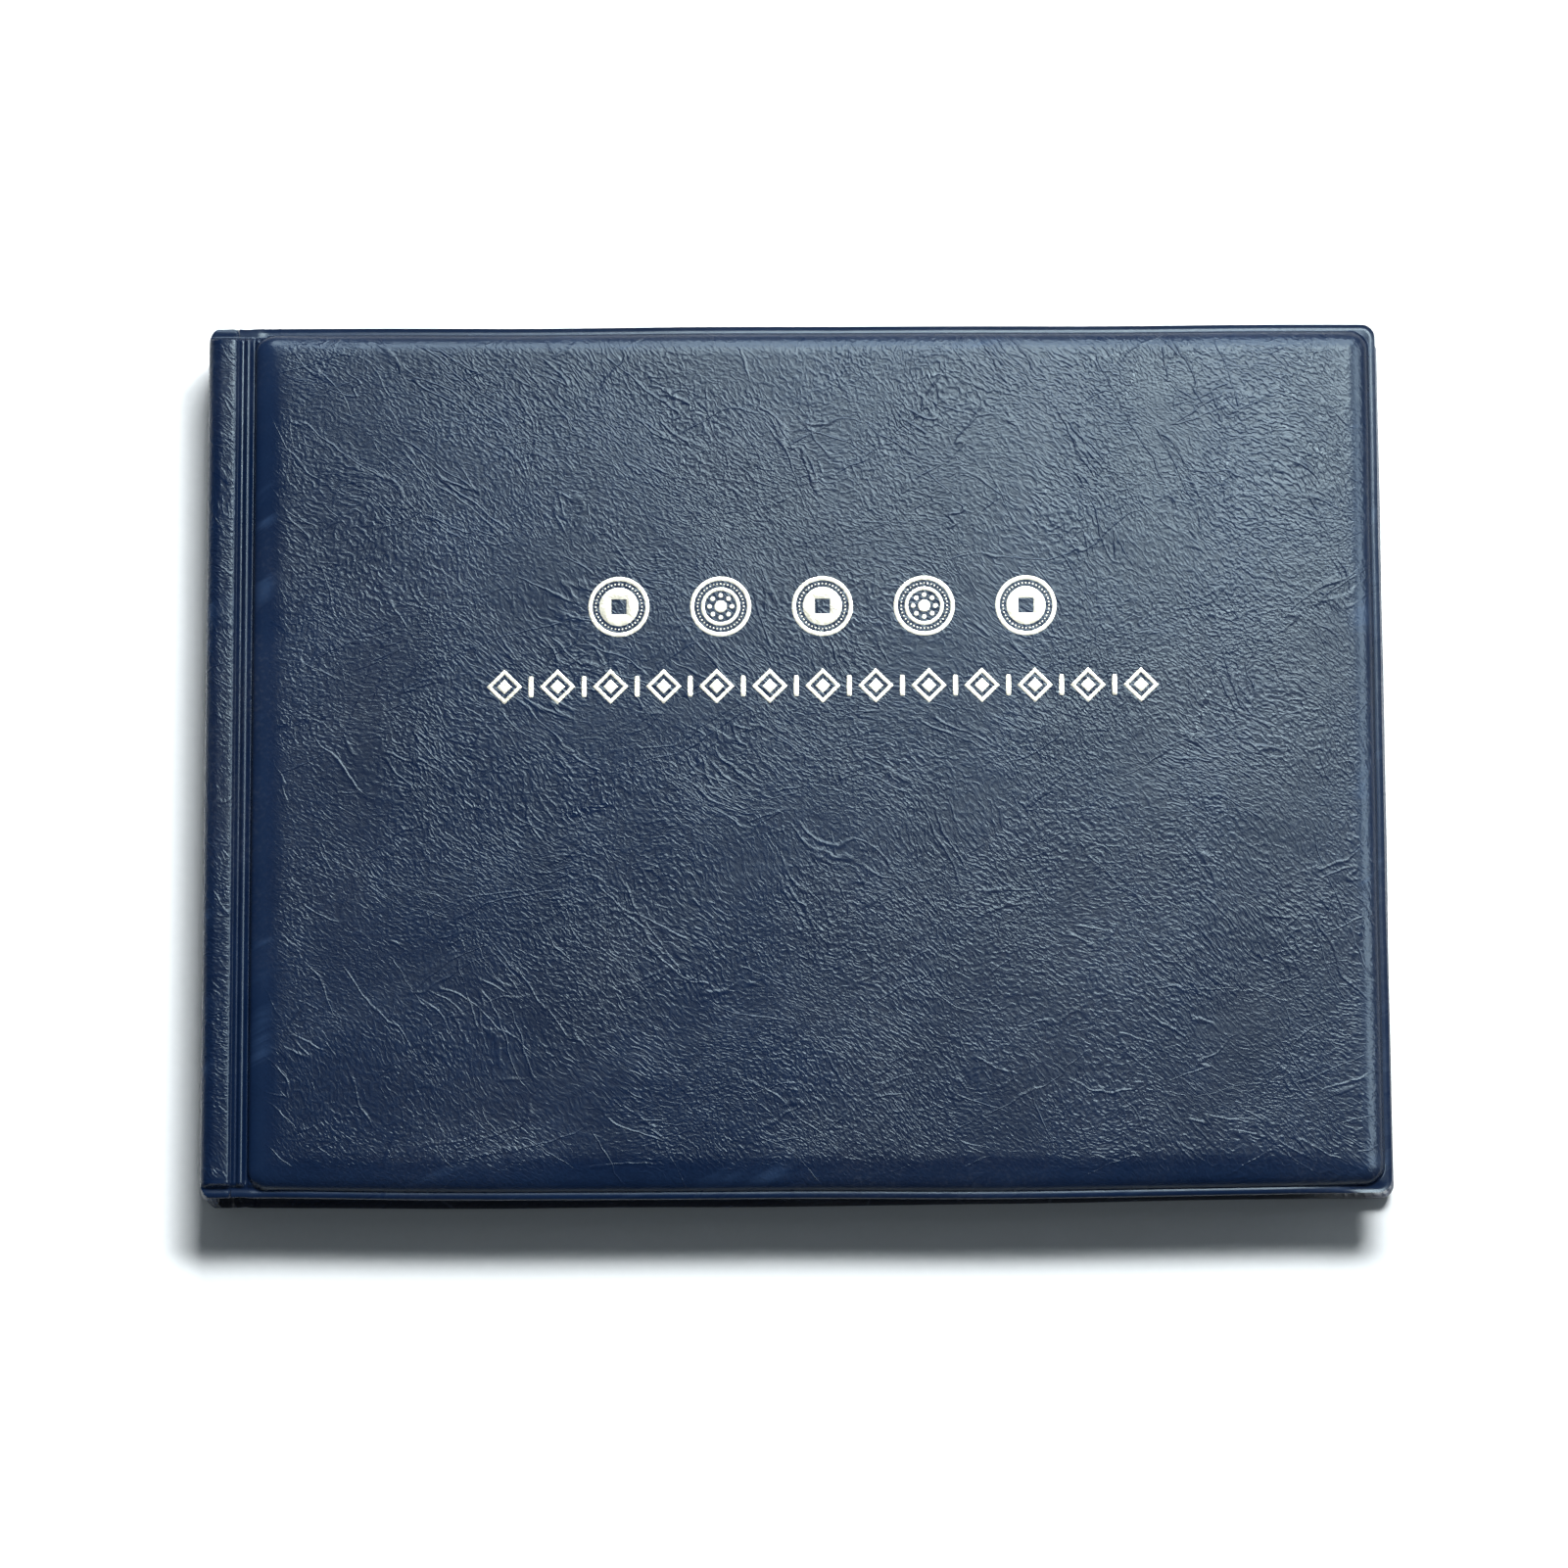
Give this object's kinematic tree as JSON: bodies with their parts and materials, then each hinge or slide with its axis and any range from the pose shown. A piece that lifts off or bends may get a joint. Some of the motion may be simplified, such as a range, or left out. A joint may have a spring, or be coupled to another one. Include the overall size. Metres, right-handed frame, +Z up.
{
  "type": "coin album",
  "caption": "Landscape album with padded leather-grained covers on welded hinges, a narrow spine and bound clear leaves of coin pockets that fan out as it opens.",
  "frame": {"origin": "centre of the closed album's underside, on the surface it lies on", "axes": "+X from the spine to the fore-edge, +Y from the near edge to the far edge, +Z up through the closed album"},
  "size_m": [0.2, 0.15, 0.02],
  "materials": {
    "grained_pvc": "satin",
    "smooth_pvc": "gloss",
    "lining_pvc": "satin",
    "padding_foam": "matte",
    "grey_board": "matte",
    "clear_pvc": "gloss",
    "tab_pvc": "satin",
    "spacer_pvc": "matte",
    "rivet_steel": "satin",
    "silver_foil": "satin"
  },
  "bodies": {
    "binding": {"spine_skin": "grained_pvc", "spine_liner": "lining_pvc", "spine_board": "grey_board", "front_strip_board": "grey_board", "back_strip_board": "grey_board", "front_hinge_film": "smooth_pvc", "back_hinge_film": "smooth_pvc", "binding_rivets": "rivet_steel", "leaf_spacers": "spacer_pvc", "leaf_01_tab": "tab_pvc", "leaf_02_tab": "tab_pvc", "leaf_03_tab": "tab_pvc", "leaf_04_tab": "tab_pvc", "leaf_05_tab": "tab_pvc", "leaf_06_tab": "tab_pvc", "leaf_07_tab": "tab_pvc", "leaf_08_tab": "tab_pvc", "leaf_09_tab": "tab_pvc", "leaf_10_tab": "tab_pvc"},
    "front_cover": {"front_cover_skin": "grained_pvc", "front_cover_foam": "padding_foam", "front_cover_board": "grey_board", "front_cover_liner": "lining_pvc", "coin_roundels": "silver_foil", "ornament_band": "silver_foil"},
    "back_cover": {"back_cover_skin": "grained_pvc", "back_cover_foam": "padding_foam", "back_cover_board": "grey_board", "back_cover_liner": "lining_pvc"},
    "leaf_01": {"leaf_01_backing": "clear_pvc", "leaf_01_pocket_strips": "clear_pvc"},
    "leaf_02": {"leaf_02_backing": "clear_pvc", "leaf_02_pocket_strips": "clear_pvc"},
    "leaf_03": {"leaf_03_backing": "clear_pvc", "leaf_03_pocket_strips": "clear_pvc"},
    "leaf_04": {"leaf_04_backing": "clear_pvc", "leaf_04_pocket_strips": "clear_pvc"},
    "leaf_05": {"leaf_05_backing": "clear_pvc", "leaf_05_pocket_strips": "clear_pvc"},
    "leaf_06": {"leaf_06_backing": "clear_pvc", "leaf_06_pocket_strips": "clear_pvc"},
    "leaf_07": {"leaf_07_backing": "clear_pvc", "leaf_07_pocket_strips": "clear_pvc"},
    "leaf_08": {"leaf_08_backing": "clear_pvc", "leaf_08_pocket_strips": "clear_pvc"},
    "leaf_09": {"leaf_09_backing": "clear_pvc", "leaf_09_pocket_strips": "clear_pvc"},
    "leaf_10": {"leaf_10_backing": "clear_pvc", "leaf_10_pocket_strips": "clear_pvc"}
  },
  "joints": [
    {"name": "front_cover_hinge", "type": "hinge", "parent": "binding", "child": "front_cover", "pos_m": [-0.0934, 0, 0.01945], "axis": [0, -1, 0], "range_deg": [0, 180]},
    {"name": "back_cover_hinge", "type": "hinge", "parent": "binding", "child": "back_cover", "pos_m": [-0.0934, 0, 0.00045], "axis": [0, -1, 0], "range_deg": [-180, 0]},
    {"name": "leaf_01_turn", "type": "hinge", "parent": "binding", "child": "leaf_01", "pos_m": [-0.0851, 0, 0.01785], "axis": [0, -1, 0], "range_deg": [0, 163.7], "deforming": ["leaf_01_tab"]},
    {"name": "leaf_02_turn", "type": "hinge", "parent": "binding", "child": "leaf_02", "pos_m": [-0.0851, 0, 0.01743], "axis": [0, -1, 0], "range_deg": [0, 147.3], "deforming": ["leaf_02_tab"]},
    {"name": "leaf_03_turn", "type": "hinge", "parent": "binding", "child": "leaf_03", "pos_m": [-0.0851, 0, 0.0169], "axis": [0, -1, 0], "range_deg": [0, 131], "deforming": ["leaf_03_tab"]},
    {"name": "leaf_04_turn", "type": "hinge", "parent": "binding", "child": "leaf_04", "pos_m": [-0.0851, 0, 0.0162], "axis": [0, -1, 0], "range_deg": [0, 114.6], "deforming": ["leaf_04_tab"]},
    {"name": "leaf_05_turn", "type": "hinge", "parent": "binding", "child": "leaf_05", "pos_m": [-0.0851, 0, 0.01529], "axis": [0, -1, 0], "range_deg": [0, 98.2], "deforming": ["leaf_05_tab"]},
    {"name": "leaf_06_turn", "type": "hinge", "parent": "binding", "child": "leaf_06", "pos_m": [-0.0851, 0, 0.01415], "axis": [0, -1, 0], "range_deg": [0, 81.9], "deforming": ["leaf_06_tab"]},
    {"name": "leaf_07_turn", "type": "hinge", "parent": "binding", "child": "leaf_07", "pos_m": [-0.0851, 0, 0.01278], "axis": [0, -1, 0], "range_deg": [0, 65.5], "deforming": ["leaf_07_tab"]},
    {"name": "leaf_08_turn", "type": "hinge", "parent": "binding", "child": "leaf_08", "pos_m": [-0.0851, 0, 0.0112], "axis": [0, -1, 0], "range_deg": [0, 49.1], "deforming": ["leaf_08_tab"]},
    {"name": "leaf_09_turn", "type": "hinge", "parent": "binding", "child": "leaf_09", "pos_m": [-0.0851, 0, 0.00945], "axis": [0, -1, 0], "range_deg": [0, 32.8], "deforming": ["leaf_09_tab"]},
    {"name": "leaf_10_turn", "type": "hinge", "parent": "binding", "child": "leaf_10", "pos_m": [-0.0851, 0, 0.0076], "axis": [0, -1, 0], "range_deg": [0, 16.4], "deforming": ["leaf_10_tab"]}
  ],
  "couplings": [
    {"joint": "leaf_01_turn", "follows": "front_cover_hinge", "ratio": 0.9091},
    {"joint": "leaf_02_turn", "follows": "front_cover_hinge", "ratio": 0.8182},
    {"joint": "leaf_03_turn", "follows": "front_cover_hinge", "ratio": 0.7273},
    {"joint": "leaf_04_turn", "follows": "front_cover_hinge", "ratio": 0.6364},
    {"joint": "leaf_05_turn", "follows": "front_cover_hinge", "ratio": 0.5455},
    {"joint": "leaf_06_turn", "follows": "front_cover_hinge", "ratio": 0.4545},
    {"joint": "leaf_07_turn", "follows": "front_cover_hinge", "ratio": 0.3636},
    {"joint": "leaf_08_turn", "follows": "front_cover_hinge", "ratio": 0.2727},
    {"joint": "leaf_09_turn", "follows": "front_cover_hinge", "ratio": 0.1818},
    {"joint": "leaf_10_turn", "follows": "front_cover_hinge", "ratio": 0.0909}
  ]
}
